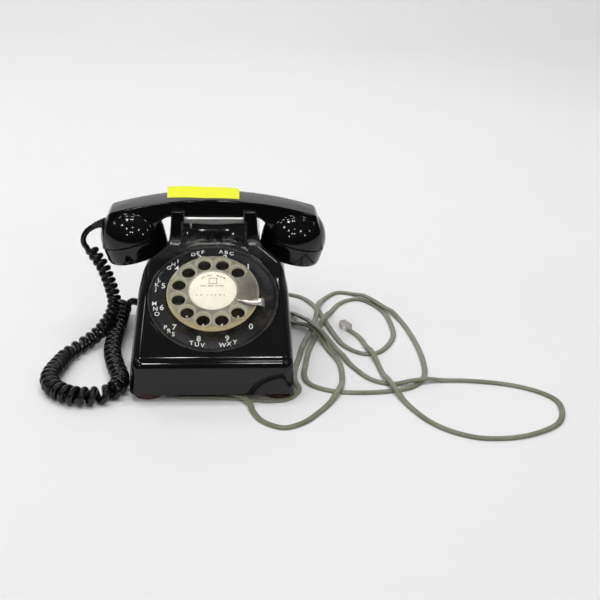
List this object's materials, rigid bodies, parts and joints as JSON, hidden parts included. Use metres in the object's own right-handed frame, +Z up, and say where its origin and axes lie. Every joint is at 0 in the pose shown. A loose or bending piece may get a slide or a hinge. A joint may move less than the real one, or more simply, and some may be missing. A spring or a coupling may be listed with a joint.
{
  "type": "rotary desk telephone",
  "caption": "Rotary dial desk telephone: sloped dial on a moulded housing, handset resting on a cradle, coiled handset cord, flat line cord, bell, dial works and switch hook inside.",
  "frame": {"origin": "centre of the flat round boss pressed into the underside of the base plate; the desk plane the feet stand on is 5 mm lower", "axes": "+X to the right of a person facing the dial, front faces -Y, +Z up"},
  "size_m": [0.421, 0.2874, 0.1286],
  "materials": {
    "housing_plastic": "deep black moulded plastic, polished, fine surface scuffs",
    "dial_plate": "black dial plate with white moulded characters",
    "clear_plastic": "clear plastic, smoky and slightly yellowed",
    "card_paper": "cream card",
    "plated_steel": "zinc plated pressed steel",
    "bright_metal": "bright plated metal",
    "brass_metal": "brass and bronze springs and gears",
    "coil_winding": "varnished copper winding",
    "foot_rubber": "reddish brown rubber",
    "cord_black": "black vinyl cord jacket",
    "cord_grey": "grey olive flat vinyl cord jacket",
    "plug_clear": "clear plastic plug",
    "grey_plastic": "grey moulded plastic"
  },
  "bodies": {
    "base": {"housing_shell": "housing_plastic", "base_plate": "plated_steel", "foot_front_left": "foot_rubber", "foot_front_right": "foot_rubber", "foot_rear_left": "foot_rubber", "foot_rear_right": "foot_rubber", "housing_screw_front": "plated_steel", "housing_screw_rear": "plated_steel", "number_plate": "dial_plate", "dial_frame": "plated_steel", "finger_stop": "bright_metal", "governor_cup": "plated_steel", "pulse_contact_springs": "brass_metal", "dial_return_spring": "plated_steel", "dial_bracket_left": "plated_steel", "dial_bracket_right": "plated_steel", "ringer_frame": "plated_steel", "ringer_coil": "coil_winding", "gong_front": "brass_metal", "gong_rear": "brass_metal", "gong_post_front": "plated_steel", "gong_post_rear": "plated_steel", "network_block": "grey_plastic", "network_terminals": "brass_metal", "hookswitch_bracket": "plated_steel", "hookswitch_contact_stack": "brass_metal", "hook_return_spring": "plated_steel", "handset_cord": "cord_black", "handset_cord_anchor": "cord_black", "line_cord": "cord_grey", "line_cord_grommet": "cord_black", "modular_plug": "plug_clear"},
    "handset": {"handset_handle": "housing_plastic", "transmitter_cap": "housing_plastic", "receiver_cap": "housing_plastic", "transmitter_capsule": "plated_steel", "receiver_capsule": "plated_steel", "transmitter_contact_cup": "grey_plastic", "handset_cord_bushing": "cord_black"},
    "dial": {"finger_wheel": "clear_plastic", "number_card": "card_paper", "card_retainer": "clear_plastic", "dial_shaft": "plated_steel", "main_gear": "brass_metal"},
    "idler": {"idler_gear": "brass_metal"},
    "governor": {"governor_rotor": "brass_metal"},
    "hook": {"hook_lever": "plated_steel"},
    "plunger_l": {"plunger_left": "clear_plastic"},
    "plunger_r": {"plunger_right": "clear_plastic"},
    "striker": {"clapper": "plated_steel"},
    "loudness": {"loudness_wheel": "grey_plastic"}
  },
  "joints": [
    {"name": "handset_lift", "type": "slide", "parent": "base", "child": "handset", "axis": [0, 0, 1], "range_m": [0, 0.15]},
    {"name": "dial_spin", "type": "hinge", "parent": "base", "child": "dial", "pos_m": [0, -0.0455, 0.061], "axis": [0, 0.5, -0.866], "range_deg": [0, 330], "deforming": ["dial_return_spring"]},
    {"name": "idler_spin", "type": "hinge", "parent": "base", "child": "idler", "pos_m": [0.0284, -0.0365, 0.04541], "axis": [0, 0.5, -0.866], "range_deg": [-1150, 10]},
    {"name": "governor_spin", "type": "hinge", "parent": "base", "child": "governor", "pos_m": [0.026, -0.02089, 0.05038], "axis": [0, 0.866, 0.5], "range_deg": [-10, 11100]},
    {"name": "hook_swing", "type": "hinge", "parent": "base", "child": "hook", "pos_m": [0, 0.052, 0.078], "axis": [-1, 0, 0], "range_deg": [0, 18.5]},
    {"name": "plunger_left_travel", "type": "slide", "parent": "base", "child": "plunger_l", "axis": [0, 0, 1], "range_m": [0, 0.006]},
    {"name": "plunger_right_travel", "type": "slide", "parent": "base", "child": "plunger_r", "axis": [0, 0, 1], "range_m": [0, 0.006]},
    {"name": "clapper_swing", "type": "hinge", "parent": "base", "child": "striker", "pos_m": [0.0164, 0, 0.0145], "axis": [0, 0, 1], "range_deg": [-2.2, 2.2]},
    {"name": "loudness_turn", "type": "hinge", "parent": "base", "child": "loudness", "pos_m": [0.0495, 0.002, 0.0047], "axis": [0, 0, 1], "range_deg": [-60, 60]}
  ],
  "couplings": [
    {"joint": "idler_spin", "follows": "dial_spin", "ratio": -3.3333},
    {"joint": "governor_spin", "follows": "dial_spin", "ratio": 33.333},
    {"joint": "hook_swing", "follows": "handset_lift", "rad_per_m": 2.1409},
    {"joint": "plunger_left_travel", "follows": "handset_lift", "ratio": 0.04},
    {"joint": "plunger_right_travel", "follows": "handset_lift", "ratio": 0.04}
  ]
}
